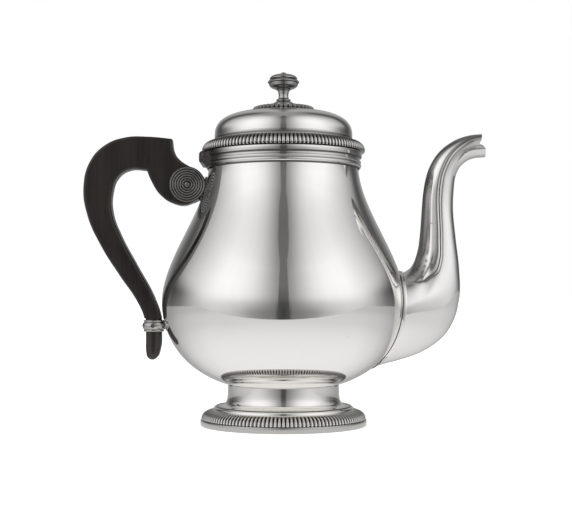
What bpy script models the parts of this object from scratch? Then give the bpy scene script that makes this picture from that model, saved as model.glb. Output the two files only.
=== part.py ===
"""Silver coffee pot with a hinged domed lid and a wooden scroll handle.

Metres, +Z up. The origin is on the pot's axis at the base of the foot. The spout points along +X and the
handle along -X. The dimensions below are in millimetres, and the shape helpers turn them into metres.
"""

import math

import bmesh
import bpy
from mathutils import Matrix, Vector

MM = 0.001
GAP = 0.3  # between pieces that touch
RUNNING_GAP = 0.1  # round the hinge pin
RING_STEPS = 40
KNOB_STEPS = 20
PIN_SIDES = 12
PIN_HOLE_HALF = 9.0  # half length of a cutter across the handle
NECK_CUT_X = -30.0  # inside the neck, where the cutters on the hinge side end

# Body
BELLY_R, BELLY_Z = 68.7, 68.8
NECK_R, NECK_Z = 42.4, 146.0
RIM_Z = 153.9
FOOT_JOINT_R, FOOT_JOINT_Z = 31.3, 23.0
BODY_FLOOR_Z = 19.0
BODY_WALL = 1.2
STRAINER_HOLE_R, STRAINER_PITCH, STRAINER_Z = 2.5, 9.0, 61.0

# Neck moulding
BAND_R, BAND_FOOT_Z = 44.45, 150.7
REED_R, REED_GROOVE_R, MOULDING_FOOT_Z = 44.05, 43.4, 144.5

# Foot
BASE_R, BASE_HEIGHT, BASE_INNER_R = 46.95, 3.5, 42.0
FOOT_GADROON_R, FOOT_GADROON_TOP_R, FOOT_GADROON_TOP_Z = 46.4, 40.7, 9.4
PEDESTAL_SKIRT_R, PEDESTAL_WALL = 39.9, 1.0

# Lid
LID_SEAT_Z = 154.2
DOME_R, DOME_SPRING_Z, DOME_RISE, DOME_POWER = 39.2, 160.0, 17.4, 3.4
DOME_WALL = 1.0
LID_GADROON_R, LID_GADROON_TOP_R, LID_GADROON_TOP_Z = 46.1, 40.3, 160.2
BEZEL_R, BEZEL_WALL, BEZEL_FOOT_Z = 40.1, 1.0, 149.5
ROSETTE_R, ROSETTE_EDGE_Z, ROSETTE_TOP_Z = 18.1, 179.5, 180.6
STUD_R, STUD_FOOT_Z, STUD_TOP_Z = 1.2, 171.7, 189.9
KNOB_TOP_Z, CAP_SEAM_Z = 200.0, 195.9
NUT_R, NUT_HEIGHT, WASHER_R, WASHER_THICK = 3.6, 2.4, 5.0, 0.8

# Hinge, its axis along Y
HINGE_X, HINGE_Z = -44.8, 151.4
KNUCKLE_R, HINGE_HALF, LID_KNUCKLE_HALF = 2.0, 17.0, 5.85
HINGE_PIN_R = 0.8

# Handle
HANDLE_HALF_THICK, HANDLE_EDGE_ROUND = 5.5, 1.6
TAIL_HALF_THICK, TAPER_FROM_Z, TAPER_TO_Z = 4.8, 100.0, 62.0
SCROLL_X, SCROLL_Z = -54.2, 135.8
ROUNDEL_R, ROUNDEL_THICK, ROUNDEL_BOSS = 9.8, 0.9, 1.6
TANG_HALF, TANG_END_X, MOUNT_PIN_R = 1.5, -59.0, 1.2
SADDLE_WALL, SADDLE_HALF = 1.0, 4.6
TAIL_X, TAIL_R = -73.5, 4.8
TAIL_CUT_R, TAIL_CUT_FOOT_Z = 15.0, 30.0  # outside the tail, all round and below
FERRULE_FOOT_Z, FERRULE_TOP_Z = 52.9, 59.4
FERRULE_R, FERRULE_FLANGE_R = 6.6, 5.9
STRUT_R, STRUT_Z = 2.2, 56.2

# Spout: wall, side count and stations. A station is back x, z, front x, z and the half width along Y.
SPOUT_WALL = 1.3
SPOUT_SIDES = 16
FLANGE_PROUD, FLANGE_DEEP = 1.0, 1.4
SPOUT_STATIONS = (
    (58.0, 85.0, 47.0, 31.5, 19.5),
    (66.1, 85.9, 57.0, 34.5, 19.0),
    (69.0, 86.9, 68.4, 37.6, 17.8),
    (71.8, 88.9, 77.0, 40.7, 16.4),
    (73.7, 91.6, 85.0, 45.3, 14.8),
    (75.2, 95.5, 92.0, 51.6, 13.0),
    (76.4, 100.1, 97.2, 60.8, 11.2),
    (77.2, 106.0, 99.9, 73.5, 9.6),
    (77.9, 114.0, 99.6, 89.0, 8.5),
    (78.5, 123.1, 97.6, 106.5, 7.9),
    (79.3, 131.9, 96.2, 121.5, 7.6),
    (80.7, 139.7, 96.5, 132.5, 7.4),
    (83.1, 146.8, 97.7, 141.3, 7.2),
    (87.1, 153.4, 100.4, 146.6, 7.0),
    (92.6, 158.6, 104.6, 150.0, 6.8),
    (99.6, 162.5, 109.0, 151.4, 6.6),
    (106.5, 164.4, 112.4, 151.7, 6.4),
    (112.4, 165.0, 114.4, 151.9, 6.2),
)

# Handle outline in the XZ plane. SHARP knots are corners, and the curve runs smoothly through the others.
SHARP, SOFT = "VECTOR", "AUTO"
HANDLE_OUTLINE = (
    (SHARP, -63.0, 161.8),
    (SOFT, -76.0, 163.0),
    (SOFT, -89.3, 162.6),
    (SOFT, -100.5, 158.4),
    (SOFT, -109.0, 149.4),
    (SOFT, -113.0, 135.5),
    (SOFT, -110.8, 119.0),
    (SOFT, -102.8, 101.0),
    (SOFT, -92.1, 84.1),
    (SOFT, -83.1, 70.8),
    (SOFT, -78.4, 59.6),
    (SOFT, -77.9, 50.0),
    (SOFT, -77.9, 42.0),
    (SOFT, -74.2, 36.9),
    (SOFT, -70.2, 41.6),
    (SOFT, -68.6, 51.0),
    (SOFT, -69.2, 61.0),
    (SOFT, -73.5, 73.2),
    (SOFT, -83.0, 90.5),
    (SOFT, -92.0, 107.3),
    (SOFT, -96.7, 120.0),
    (SOFT, -96.9, 131.5),
    (SOFT, -93.6, 140.2),
    (SOFT, -87.0, 144.4),
    (SHARP, -77.2, 144.3),
    (SOFT, -74.8, 138.4),
    (SOFT, -69.3, 129.9),
    (SOFT, -62.5, 125.6),
    (SOFT, -55.5, 124.5),
    (SHARP, -48.0, 127.8),
    (SHARP, -45.0, 140.4),
    (SOFT, -48.2, 143.9),
    (SOFT, -53.6, 146.6),
    (SOFT, -58.2, 149.7),
    (SOFT, -61.5, 154.0),
)

POLISHED_SILVER = ((0.90, 0.89, 0.87), 1.0, 0.08)
DARK_WOOD = ((0.035, 0.024, 0.018), 0.0, 0.38)


def clear_scene():
    for obj in list(bpy.data.objects):
        bpy.data.objects.remove(obj)


def new_collection(name):
    collection = bpy.data.collections.new(name)
    bpy.context.scene.collection.children.link(collection)
    return collection


def finished(obj, look=POLISHED_SILVER):
    """Puts a sub-part in the pot's collection, with a material of its own."""
    colour, metallic, roughness = look
    material = bpy.data.materials.new(obj.name)
    material.use_nodes = True
    shader = material.node_tree.nodes["Principled BSDF"]
    shader.inputs["Base Color"].default_value = (*colour, 1.0)
    shader.inputs["Metallic"].default_value = metallic
    shader.inputs["Roughness"].default_value = roughness
    obj.data.materials.append(material)
    POT.objects.link(obj)
    return obj


def as_tool(obj):
    """Puts a helper solid in the cutters' collection, out of the render."""
    CUTTERS.objects.link(obj)
    obj.hide_render = True
    obj.display_type = "WIRE"
    return obj


def combine(obj, operation, tool):
    modifier = obj.modifiers.new(tool.name, "BOOLEAN")
    modifier.operation = operation
    modifier.solver = "EXACT"
    modifier.object = tool


def bezier(start, lead, follow, end, count):
    """Points along a cubic curve in the plane, both ends included."""
    points = []
    for step in range(count + 1):
        t = step / count
        u = 1 - t
        weights = (u**3, 3 * u * u * t, 3 * u * t * t, t**3)
        corners = (start, lead, follow, end)
        points.append(tuple(sum(w * p[axis] for w, p in zip(weights, corners)) for axis in (0, 1)))
    return points


def arc(centre, size, count, first=90.0, last=0.0):
    """Points of an elliptical arc, from the angle first to the angle last in degrees."""
    points = []
    for step in range(count + 1):
        angle = math.radians(first + (last - first) * step / count)
        points.append((centre[0] + size[0] * math.cos(angle), centre[1] + size[1] * math.sin(angle)))
    return points


def grown(outline, distance):
    """The outline moved outwards along its own normals. It runs down its outer side."""
    moved = []
    for index, (radius, height) in enumerate(outline):
        before = outline[max(index - 1, 0)]
        after = outline[min(index + 1, len(outline) - 1)]
        along = Vector((after[0] - before[0], after[1] - before[1])).normalized()
        moved.append((max(radius - along.y * distance, 0.0), height + along.x * distance))
    return moved


def turned(name, profile, steps=RING_STEPS, ring=False, wall=0.0):
    """A lathe-turned piece. The profile of (radius, height) points runs down the outer side.

    A ring's profile closes on itself. With a wall, the profile is a skin that thickens inwards.
    """
    points = [(radius * MM, 0.0, height * MM) for radius, height in profile]
    edges = [(i, i + 1) for i in range(len(points) - 1)]
    if ring:
        edges.append((len(points) - 1, 0))
    mesh = bpy.data.meshes.new(name)
    mesh.from_pydata(points, edges, [])
    obj = bpy.data.objects.new(name, mesh)
    lathe = obj.modifiers.new("lathe", "SCREW")
    lathe.steps = steps
    lathe.render_steps = steps
    lathe.use_merge_vertices = True
    lathe.merge_threshold = 0.00001
    if wall:
        shell = obj.modifiers.new("wall", "SOLIDIFY")
        shell.thickness = wall * MM
        shell.offset = -1.0
        shell.use_even_offset = True
    return obj


def box(name, low, high):
    """A box between two opposite corners."""
    shape = bmesh.new()
    bmesh.ops.create_cube(shape, size=1.0)
    size = [(b - a) * MM for a, b in zip(low, high)]
    middle = [(a + b) / 2 * MM for a, b in zip(low, high)]
    bmesh.ops.transform(shape, matrix=Matrix.Diagonal((*size, 1.0)), verts=shape.verts)
    bmesh.ops.translate(shape, vec=middle, verts=shape.verts)
    return from_bmesh(name, shape)


def rod(name, radius, start, end, sides=PIN_SIDES):
    """A round rod between two points."""
    shape = bmesh.new()
    add_rod(shape, radius, start, end, sides)
    return from_bmesh(name, shape)


def add_rod(shape, radius, start, end, sides):
    axis = Vector(end) - Vector(start)
    turn = axis.to_track_quat("Z", "Y").to_matrix().to_4x4()
    place = Matrix.Translation((Vector(start) + Vector(end)) / 2 * MM) @ turn
    size = {"radius1": radius * MM, "radius2": radius * MM, "depth": axis.length * MM}
    bmesh.ops.create_cone(shape, cap_ends=True, segments=sides, matrix=place, **size)


def from_bmesh(name, shape):
    mesh = bpy.data.meshes.new(name)
    shape.to_mesh(mesh)
    shape.free()
    mesh.shade_smooth()
    mesh.set_sharp_from_angle(angle=math.radians(35))
    return bpy.data.objects.new(name, mesh)


def plate(name, outline, half_thickness, edge_round=0.0, detail=2):
    """A flat piece with its outline in the XZ plane and its thickness along Y."""
    curve = bpy.data.curves.new(name, "CURVE")
    curve.dimensions = "2D"
    curve.fill_mode = "BOTH"
    curve.extrude = (half_thickness - edge_round) * MM
    curve.bevel_depth = edge_round * MM
    curve.bevel_resolution = 1
    curve.offset = -edge_round * MM
    curve.resolution_u = detail
    spline = curve.splines.new("BEZIER")
    spline.bezier_points.add(len(outline) - 1)
    for knot, (kind, x, z) in zip(spline.bezier_points, outline):
        knot.co = (x * MM, z * MM, 0.0)
        knot.handle_left_type = kind
        knot.handle_right_type = kind
    spline.use_cyclic_u = True
    guide = bpy.data.objects.new(name, curve)
    guide.rotation_euler = (math.pi / 2, 0.0, 0.0)
    CUTTERS.objects.link(guide)
    graph = bpy.context.evaluated_depsgraph_get()
    mesh = bpy.data.meshes.new_from_object(guide.evaluated_get(graph))
    mesh.transform(guide.matrix_world)
    bpy.data.objects.remove(guide)
    shape = bmesh.new()
    shape.from_mesh(mesh)
    bpy.data.meshes.remove(mesh)
    bmesh.ops.remove_doubles(shape, verts=shape.verts, dist=0.00001)
    bmesh.ops.recalc_face_normals(shape, faces=shape.faces)
    return from_bmesh(name, shape)


def body_outline():
    """The body's outer line, from the rim down to the middle of its floor."""
    shoulder = bezier((NECK_R, NECK_Z), (43.2, 121.2), (BELLY_R, 94.5), (BELLY_R, BELLY_Z), 8)
    bowl = bezier((BELLY_R, BELLY_Z), (BELLY_R, 55.2), (61.5, 32.2), (FOOT_JOINT_R, FOOT_JOINT_Z), 7)
    floor = bezier((FOOT_JOINT_R, FOOT_JOINT_Z), (22.0, 20.2), (12.0, BODY_FLOOR_Z), (0.0, BODY_FLOOR_Z), 3)
    return [(NECK_R, RIM_Z)] + shoulder + bowl[1:] + floor[1:]


def body_envelope(name, distance):
    """A solid of the body's outer shape, grown by a distance, for cutting what is fitted against it."""
    outline = grown(body_outline(), distance)
    above = (outline[0][0], RIM_Z + 10.0)
    return as_tool(turned(name, [(0.0, above[1]), above] + outline))


def make_body():
    shell = finished(turned("body_shell", body_outline(), wall=BODY_WALL))
    holes = bmesh.new()
    places = [(0.0, 0.0)]
    for step in range(6):
        angle = math.radians(60 * step)
        places.append((STRAINER_PITCH * math.cos(angle), STRAINER_PITCH * math.sin(angle)))
    for y, z in places:
        add_rod(holes, STRAINER_HOLE_R, (55.0, y, STRAINER_Z + z), (75.0, y, STRAINER_Z + z), 10)
    combine(shell, "DIFFERENCE", as_tool(from_bmesh("strainer_holes", holes)))


def make_neck_moulding():
    inner = NECK_R + GAP + 0.1
    profile = [
        (BAND_R - 0.3, RIM_Z),
        (BAND_R, RIM_Z - 0.4),
        (BAND_R, BAND_FOOT_Z),
        (REED_GROOVE_R, BAND_FOOT_Z - 0.5),
        (REED_GROOVE_R, BAND_FOOT_Z - 1.1),
        (REED_R, BAND_FOOT_Z - 1.8),
        (REED_R, BAND_FOOT_Z - 3.0),
        (REED_GROOVE_R + 0.2, BAND_FOOT_Z - 3.6),
        (REED_R, BAND_FOOT_Z - 4.2),
        (REED_R, MOULDING_FOOT_Z + 0.6),
        (REED_GROOVE_R, MOULDING_FOOT_Z),
        (inner, MOULDING_FOOT_Z),
        (inner, RIM_Z),
    ]
    moulding = finished(turned("neck_moulding", profile, ring=True))
    side = HINGE_HALF + GAP
    notch = box("hinge_notch", (-60.0, -side, MOULDING_FOOT_Z - 1), (NECK_CUT_X, side, RIM_Z + 1))
    combine(moulding, "DIFFERENCE", as_tool(notch))


def make_foot():
    cove = bezier((31.5, 22.7), (32.4, 13.6), (33.4, 11.6), (38.4, 10.8), 5)
    step = [(PEDESTAL_SKIRT_R, 10.2), (PEDESTAL_SKIRT_R, BASE_HEIGHT), (PEDESTAL_SKIRT_R, 0.6)]
    finished(turned("foot_pedestal", cove + step, wall=PEDESTAL_WALL))

    seat_z = BASE_HEIGHT + GAP
    size = (FOOT_GADROON_R - FOOT_GADROON_TOP_R, FOOT_GADROON_TOP_Z - seat_z - 0.6)
    inner = PEDESTAL_SKIRT_R + GAP
    ovolo = arc((FOOT_GADROON_TOP_R, seat_z + 0.6), size, 5)
    ovolo += [(FOOT_GADROON_R - 0.2, seat_z), (inner, seat_z), (inner, FOOT_GADROON_TOP_Z)]
    finished(turned("foot_gadroon_rim", ovolo, ring=True))

    band = [
        (BASE_R - 0.4, BASE_HEIGHT),
        (BASE_R, BASE_HEIGHT - 0.5),
        (BASE_R, 0.5),
        (BASE_R - 0.3, 0.0),
        (BASE_INNER_R, 0.0),
        (BASE_INNER_R, BASE_HEIGHT),
    ]
    finished(turned("foot_base_band", band, ring=True))


def dome_height(radius):
    """Height of the dome's outer face at a radius."""
    return DOME_SPRING_Z + DOME_RISE * (1 - (radius / DOME_R) ** DOME_POWER) ** (1 / DOME_POWER)


def dome_outline():
    """The dome's outer line, from the stud's hole down to its foot."""
    hole = STUD_R + GAP
    points = [(hole, dome_height(hole)), (14.0, dome_height(14.0))]
    for degrees in range(65, -1, -13):
        angle = math.radians(degrees)
        radius = DOME_R * math.cos(angle) ** (2 / DOME_POWER)
        points.append((radius, DOME_SPRING_Z + DOME_RISE * math.sin(angle) ** (2 / DOME_POWER)))
    return points + [(DOME_R, LID_SEAT_Z)]


def make_lid():
    finished(turned("lid_dome", dome_outline(), wall=DOME_WALL))

    inner = DOME_R + GAP
    size = (LID_GADROON_R - LID_GADROON_TOP_R, LID_GADROON_TOP_Z - LID_SEAT_Z - 1.1)
    ovolo = arc((LID_GADROON_TOP_R, LID_SEAT_Z + 1.1), size, 5)
    ovolo += [(LID_GADROON_R - 0.5, LID_SEAT_Z), (inner, LID_SEAT_Z), (inner, LID_GADROON_TOP_Z)]
    finished(turned("lid_gadroon_rim", ovolo, ring=True))

    bezel_top = LID_SEAT_Z - GAP
    bezel = [
        (BEZEL_R, bezel_top),
        (BEZEL_R, BEZEL_FOOT_Z + 0.6),
        (BEZEL_R - 0.5, BEZEL_FOOT_Z),
        (BEZEL_R - BEZEL_WALL, BEZEL_FOOT_Z),
        (BEZEL_R - BEZEL_WALL, bezel_top),
    ]
    finished(turned("lid_bezel", bezel, ring=True))


def make_finial():
    hole = STUD_R + GAP
    rosette = [(hole, ROSETTE_TOP_Z), (8.2, ROSETTE_TOP_Z - 0.1), (13.0, ROSETTE_TOP_Z - 0.3)]
    rosette += [(ROSETTE_R - 0.4, ROSETTE_EDGE_Z), (ROSETTE_R, dome_height(ROSETTE_R) + GAP + 0.2)]
    for radius in (ROSETTE_R - 0.3, 13.0, hole):
        rosette.append((radius, dome_height(radius) + GAP + 0.05))
    finished(turned("finial_rosette", rosette, ring=True))

    foot_z = ROSETTE_TOP_Z + GAP
    knop = [
        (0.0, CAP_SEAM_Z),
        (7.7, CAP_SEAM_Z),
        (8.6, 195.0),
        (9.05, 194.3),
        (8.6, 193.8),
        (8.0, 192.3),
        (6.4, 190.6),
        (3.9, 190.3),
        (3.8, 189.5),
        (2.9, 188.0),
        (2.8, 185.6),
        (4.0, 184.0),
        (4.7, 183.2),
        (6.2, 181.9),
        (6.6, foot_z),
        (hole, foot_z),
        (hole, STUD_TOP_Z + GAP),
        (0.0, STUD_TOP_Z + GAP),
    ]
    finished(turned("finial_knop", knop, steps=KNOB_STEPS))

    cap = [(0.0, KNOB_TOP_Z), (1.3, 199.7), (1.7, 199.0), (2.4, 198.7), (5.2, 198.3), (7.0, 197.3)]
    cap += [(7.8, CAP_SEAM_Z + GAP), (0.0, CAP_SEAM_Z + GAP)]
    finished(turned("finial_cap", cap, steps=KNOB_STEPS))

    finished(rod("finial_stud", STUD_R, (0, 0, STUD_FOOT_Z), (0, 0, STUD_TOP_Z)))

    washer_top = dome_height(0.0) - DOME_WALL - GAP - 0.05
    washer_foot = washer_top - WASHER_THICK
    washer = [(WASHER_R, washer_top), (WASHER_R, washer_foot), (hole, washer_foot), (hole, washer_top)]
    finished(turned("finial_washer", washer, steps=KNOB_STEPS, ring=True))

    nut_top = washer_foot - GAP
    nut = finished(rod("finial_nut", NUT_R, (0, 0, nut_top - NUT_HEIGHT), (0, 0, nut_top), 6))
    combine(nut, "DIFFERENCE", as_tool(rod("nut_bore", hole, (0, 0, 170), (0, 0, 182))))


def hinge_profile(points, first, last):
    """Plate outline of a knuckle: an arc over the hinge axis, then straight runs through the points."""
    over_axis = arc((HINGE_X, HINGE_Z), (KNUCKLE_R, KNUCKLE_R), 12, first, last)
    return [(SHARP, x, z) for x, z in over_axis + points]


def make_hinge(body_cutter):
    outer_x = HINGE_X - KNUCKLE_R
    inner_x = HINGE_X + KNUCKLE_R
    ledge_z = HINGE_Z - KNUCKLE_R - GAP
    bracket = [
        (outer_x, 147.8),
        (outer_x + 2.1, 147.5),
        (outer_x + 2.6, 146.4),
        (outer_x + 3.6, 144.8),
        (-38.6, 144.8),
        (-38.6, ledge_z),
        (inner_x, ledge_z),
    ]
    leaf = finished(plate("hinge_body_leaf", hinge_profile(bracket, 0.0, 180.0), HINGE_HALF, detail=1))
    slot_half = LID_KNUCKLE_HALF + GAP
    slot = box("knuckle_slot", (-50, -slot_half, ledge_z), (NECK_CUT_X, slot_half, 160))
    combine(leaf, "DIFFERENCE", as_tool(slot))
    combine(leaf, "DIFFERENCE", body_cutter)

    strap = [(HINGE_X - 1.2, HINGE_Z + 1.6), (HINGE_X - 1.2, LID_SEAT_Z - GAP)]
    strap += [(HINGE_X + 1.4, LID_SEAT_Z - GAP), (HINGE_X + 1.4, HINGE_Z + 1.4)]
    lid_leaf = plate("hinge_lid_leaf", hinge_profile(strap, 45.0, -233.0), LID_KNUCKLE_HALF, detail=1)
    finished(lid_leaf)

    bore_r = HINGE_PIN_R + RUNNING_GAP
    ends = HINGE_HALF + 5
    bore = as_tool(rod("hinge_bore", bore_r, (HINGE_X, -ends, HINGE_Z), (HINGE_X, ends, HINGE_Z)))
    combine(leaf, "DIFFERENCE", bore)
    combine(lid_leaf, "DIFFERENCE", bore)
    pin_half = HINGE_HALF - 0.2
    pin = rod("hinge_pin", HINGE_PIN_R, (HINGE_X, -pin_half, HINGE_Z), (HINGE_X, pin_half, HINGE_Z))
    finished(pin)


def spout_rings(growth):
    """The rings of points of the spout's skin, root first, grown outwards by a distance."""
    rings = []
    for back_x, back_z, front_x, front_z, half_width in SPOUT_STATIONS:
        back = Vector((back_x, 0, back_z))
        front = Vector((front_x, 0, front_z))
        middle = (back + front) / 2
        reach = (front - back) / 2
        reach += reach.normalized() * growth
        side = Vector((0, half_width + growth, 0))
        angles = [2 * math.pi * step / SPOUT_SIDES for step in range(SPOUT_SIDES)]
        rings.append([(middle + reach * math.cos(a) + side * math.sin(a)) * MM for a in angles])
    return rings


def add_loft(shape, rings):
    """Faces between neighbouring rings of points. Returns the vertices of each ring."""
    loops = [[shape.verts.new(point) for point in ring] for ring in rings]
    for lower, upper in zip(loops, loops[1:]):
        for i in range(SPOUT_SIDES):
            j = (i + 1) % SPOUT_SIDES
            shape.faces.new((lower[i], lower[j], upper[j], upper[i]))
    return loops


def spout_plug(name, growth):
    """The spout's outer shape as one solid, grown by a distance."""
    shape = bmesh.new()
    loops = add_loft(shape, spout_rings(growth))
    shape.faces.new(loops[0])
    shape.faces.new(loops[-1])
    bmesh.ops.recalc_face_normals(shape, faces=shape.faces)
    return from_bmesh(name, shape)


def make_spout(body_cutter):
    shape = bmesh.new()
    outer = add_loft(shape, spout_rings(0.0))
    inner = add_loft(shape, spout_rings(-SPOUT_WALL))
    for end in (0, -1):
        for i in range(SPOUT_SIDES):
            j = (i + 1) % SPOUT_SIDES
            shape.faces.new((outer[end][i], outer[end][j], inner[end][j], inner[end][i]))
    bmesh.ops.recalc_face_normals(shape, faces=shape.faces)
    spout = finished(from_bmesh("spout", shape))
    combine(spout, "DIFFERENCE", body_cutter)

    flange = finished(spout_plug("spout_flange", FLANGE_PROUD + GAP))
    combine(flange, "INTERSECT", body_envelope("flange_reach", GAP + FLANGE_DEEP))
    combine(flange, "DIFFERENCE", body_cutter)
    combine(flange, "DIFFERENCE", as_tool(spout_plug("spout_skin", GAP)))
    below = box("inside_half", (-90, -60, 0), (40, 60, 160))
    combine(flange, "DIFFERENCE", as_tool(below))


def taper_tail(mesh):
    """Thins the handle along Y from the arm down to its tail."""
    for vertex in mesh.vertices:
        share = (TAPER_FROM_Z - vertex.co.z / MM) / (TAPER_FROM_Z - TAPER_TO_Z)
        share = min(max(share, 0.0), 1.0)
        vertex.co.y *= 1 - share * (1 - TAIL_HALF_THICK / HANDLE_HALF_THICK)


def make_handle():
    handle = plate("handle", HANDLE_OUTLINE, HANDLE_HALF_THICK, HANDLE_EDGE_ROUND)
    taper_tail(handle.data)
    finished(handle, DARK_WOOD)
    top = FERRULE_TOP_Z + 1
    around = [(TAIL_CUT_R, top), (TAIL_CUT_R, TAIL_CUT_FOOT_Z), (TAIL_R, TAIL_CUT_FOOT_Z), (TAIL_R, top)]
    sleeve = as_tool(turned("tail_sleeve", around, steps=KNOB_STEPS, ring=True))
    sleeve.location.x = TAIL_X * MM
    combine(handle, "DIFFERENCE", sleeve)
    side = TANG_HALF + GAP
    slot = as_tool(box("tang_slot", (TANG_END_X - GAP, -side, 131.2), (NECK_CUT_X, side, 140.3)))
    combine(handle, "DIFFERENCE", slot)
    ends = ((SCROLL_X, -PIN_HOLE_HALF, SCROLL_Z), (SCROLL_X, PIN_HOLE_HALF, SCROLL_Z))
    pin_hole = as_tool(rod("mount_pin_hole", MOUNT_PIN_R + GAP, *ends))
    combine(handle, "DIFFERENCE", pin_hole)
    return pin_hole


def make_upper_mount(body_cutter, pin_hole):
    saddle = box("handle_upper_mount", (-70, -SADDLE_HALF, 129.0), (NECK_CUT_X, SADDLE_HALF, 139.8))
    finished(saddle)
    combine(saddle, "INTERSECT", body_envelope("saddle_reach", GAP + SADDLE_WALL))
    tang = box("mount_tang", (TANG_END_X, -TANG_HALF, 131.5), (-44.0, TANG_HALF, 140.0))
    combine(saddle, "UNION", as_tool(tang))
    combine(saddle, "DIFFERENCE", body_cutter)
    combine(saddle, "DIFFERENCE", pin_hole)
    half = HANDLE_HALF_THICK
    pin = rod("handle_upper_pin", MOUNT_PIN_R, (SCROLL_X, -half, SCROLL_Z), (SCROLL_X, half, SCROLL_Z))
    finished(pin)


def make_roundels():
    """Ringed discs on both faces of the scroll, over the ends of its pin."""
    disc = [
        (0.0, ROUNDEL_BOSS),
        (1.6, ROUNDEL_BOSS - 0.2),
        (2.4, ROUNDEL_THICK),
        (ROUNDEL_R - 0.3, ROUNDEL_THICK),
        (ROUNDEL_R, ROUNDEL_THICK - 0.4),
        (ROUNDEL_R, 0.0),
        (0.0, 0.0),
    ]
    for name, side in (("roundel_front", -1), ("roundel_back", 1)):
        roundel = finished(turned(name, disc, steps=24))
        roundel.rotation_euler = (-side * math.pi / 2, 0.0, 0.0)
        roundel.location = Vector((SCROLL_X, side * (HANDLE_HALF_THICK + GAP), SCROLL_Z)) * MM


def make_ferrule(body_cutter):
    bore = TAIL_R + GAP
    bulge_root = FERRULE_FLANGE_R - 0.6
    bulge = arc((bulge_root, STRUT_Z), (FERRULE_R - bulge_root, 2.0), 4, 90, -90)
    profile = [
        (FERRULE_FLANGE_R - 0.3, FERRULE_TOP_Z),
        (FERRULE_FLANGE_R, FERRULE_TOP_Z - 0.5),
        *bulge,
        (FERRULE_FLANGE_R, FERRULE_FOOT_Z + 0.6),
        (FERRULE_FLANGE_R - 0.3, FERRULE_FOOT_Z),
        (bore, FERRULE_FOOT_Z),
        (bore, FERRULE_TOP_Z),
    ]
    ferrule = turned("handle_lower_ferrule", profile, steps=KNOB_STEPS, ring=True)
    ferrule.location.x = TAIL_X * MM
    finished(ferrule)
    strut = rod("ferrule_strut", STRUT_R, (TAIL_X + 5.6, 0, STRUT_Z), (-60, 0, STRUT_Z))
    combine(ferrule, "UNION", as_tool(strut))
    combine(ferrule, "DIFFERENCE", body_cutter)
    return ferrule


def make_lower_pin(ferrule):
    """Cross pin through the collar and the handle's tail."""
    reach = FERRULE_R - 0.5
    ends = ((TAIL_X, -reach, STRUT_Z), (TAIL_X, reach, STRUT_Z))
    finished(rod("handle_lower_pin", HINGE_PIN_R, *ends))
    ends = ((TAIL_X, -PIN_HOLE_HALF, STRUT_Z), (TAIL_X, PIN_HOLE_HALF, STRUT_Z))
    hole = as_tool(rod("lower_pin_hole", HINGE_PIN_R + GAP, *ends))
    combine(ferrule, "DIFFERENCE", hole)
    combine(POT.objects["handle"], "DIFFERENCE", hole)


def hang_lid_on_hinge():
    """Parents every piece of the lid to an empty on the hinge's axis."""
    hinge = bpy.data.objects.new("lid_hinge_axis", None)
    hinge.location = Vector((HINGE_X, 0, HINGE_Z)) * MM
    POT.objects.link(hinge)
    for obj in POT.objects:
        if obj.name.startswith(("lid_", "finial_", "hinge_lid")) and obj != hinge:
            obj.parent = hinge
            obj.location = -hinge.location


clear_scene()
POT = new_collection("silver_coffee_pot")
CUTTERS = new_collection("cutters")

BODY_CUTTER = body_envelope("body_cutter", GAP)
make_body()
make_neck_moulding()
make_foot()
make_lid()
make_finial()
make_hinge(BODY_CUTTER)
make_spout(BODY_CUTTER)
MOUNT_PIN_HOLE = make_handle()
make_upper_mount(BODY_CUTTER, MOUNT_PIN_HOLE)
make_roundels()
make_lower_pin(make_ferrule(BODY_CUTTER))
hang_lid_on_hinge()
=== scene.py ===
"""Looks of the silver coffee pot: camera, stage, materials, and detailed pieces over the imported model.

Lengths are in millimetres, and the mesh helpers turn them into metres. The spout points along +X.
"""

import math

import bmesh
import bpy
import numpy as np
from mathutils import Matrix, Vector


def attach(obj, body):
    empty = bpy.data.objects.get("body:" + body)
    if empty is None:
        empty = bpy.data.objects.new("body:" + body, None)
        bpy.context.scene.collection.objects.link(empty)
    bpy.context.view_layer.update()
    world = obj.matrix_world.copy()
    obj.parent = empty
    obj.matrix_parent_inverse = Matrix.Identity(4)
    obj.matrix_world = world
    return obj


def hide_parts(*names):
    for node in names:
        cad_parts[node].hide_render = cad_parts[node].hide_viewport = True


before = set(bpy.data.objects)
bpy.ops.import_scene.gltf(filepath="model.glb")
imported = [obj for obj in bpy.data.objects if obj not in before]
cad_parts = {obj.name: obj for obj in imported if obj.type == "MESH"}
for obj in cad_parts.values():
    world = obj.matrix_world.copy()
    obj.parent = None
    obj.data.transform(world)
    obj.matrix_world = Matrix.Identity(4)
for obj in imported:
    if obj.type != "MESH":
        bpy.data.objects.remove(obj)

MM = 0.001
GAP = 0.3
SAME_POINT = 2e-7
SHARP_ANGLE = 32.0
POT, LID = "pot", "lid"
SILVER = "polished_silver"
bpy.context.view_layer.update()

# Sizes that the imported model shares
BELLY_R, BELLY_Z = 68.7, 68.8
NECK_R, NECK_Z, RIM_Z = 42.4, 146.0, 153.9
FOOT_JOINT_R, FOOT_JOINT_Z, FLOOR_Z = 31.3, 23.0, 19.0
BODY_WALL = 1.2
DOME_R, DOME_SPRING_Z, DOME_RISE, DOME_POWER = 39.2, 160.0, 17.4, 3.4
LID_SEAT_Z, LID_WALL = 154.2, 1.0
STUD_HOLE_R = 1.5
HINGE_X, HINGE_Z, KNUCKLE_R, HINGE_HALF, LID_KNUCKLE_HALF = -44.8, 151.4, 2.0, 17.0, 5.85
HINGE_BORE_R = 0.9
SCROLL_X, SCROLL_Z, HANDLE_HALF, SCROLL_PIN_R = -54.2, 135.8, 5.5, 1.5
TAIL_X, TAIL_R, STRUT_Z, STRUT_R, TAIL_PIN_R = -73.5, 4.8, 56.2, 2.2, 1.1


# ---- curves


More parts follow.
